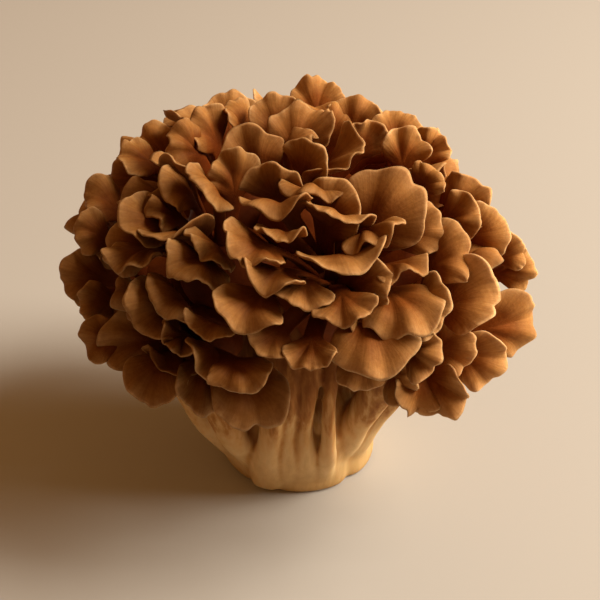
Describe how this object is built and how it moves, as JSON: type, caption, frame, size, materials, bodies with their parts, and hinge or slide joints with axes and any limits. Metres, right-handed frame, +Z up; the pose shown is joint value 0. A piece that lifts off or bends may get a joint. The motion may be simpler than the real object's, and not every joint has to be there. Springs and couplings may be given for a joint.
{
  "type": "maitake mushroom",
  "caption": "Maitake mushroom cluster: a flat-cut, fluted pale foot that branches into stalks under a dome of overlapping, ruffled brown fronds.",
  "frame": {"origin": "middle of the flat cut face of the foot", "axes": "+Z up, out of the cut face through the crown; -Y is the front of the cluster"},
  "size_m": [0.1556, 0.1504, 0.1364],
  "materials": {
    "base_flesh": "matte, smooth and slightly fibrous, cream turning tan toward the fronds",
    "frond_flesh": "matte, velvety caramel brown with a paler margin and underside"
  },
  "bodies": {
    "root": {"base": "base_flesh", "spray_01": "frond_flesh", "spray_02": "frond_flesh", "spray_03": "frond_flesh", "spray_04": "frond_flesh", "spray_05": "frond_flesh", "spray_06": "frond_flesh", "spray_07": "frond_flesh", "spray_08": "frond_flesh", "spray_09": "frond_flesh", "spray_10": "frond_flesh", "spray_11": "frond_flesh", "spray_12": "frond_flesh", "spray_13": "frond_flesh"}
  },
  "joints": []
}
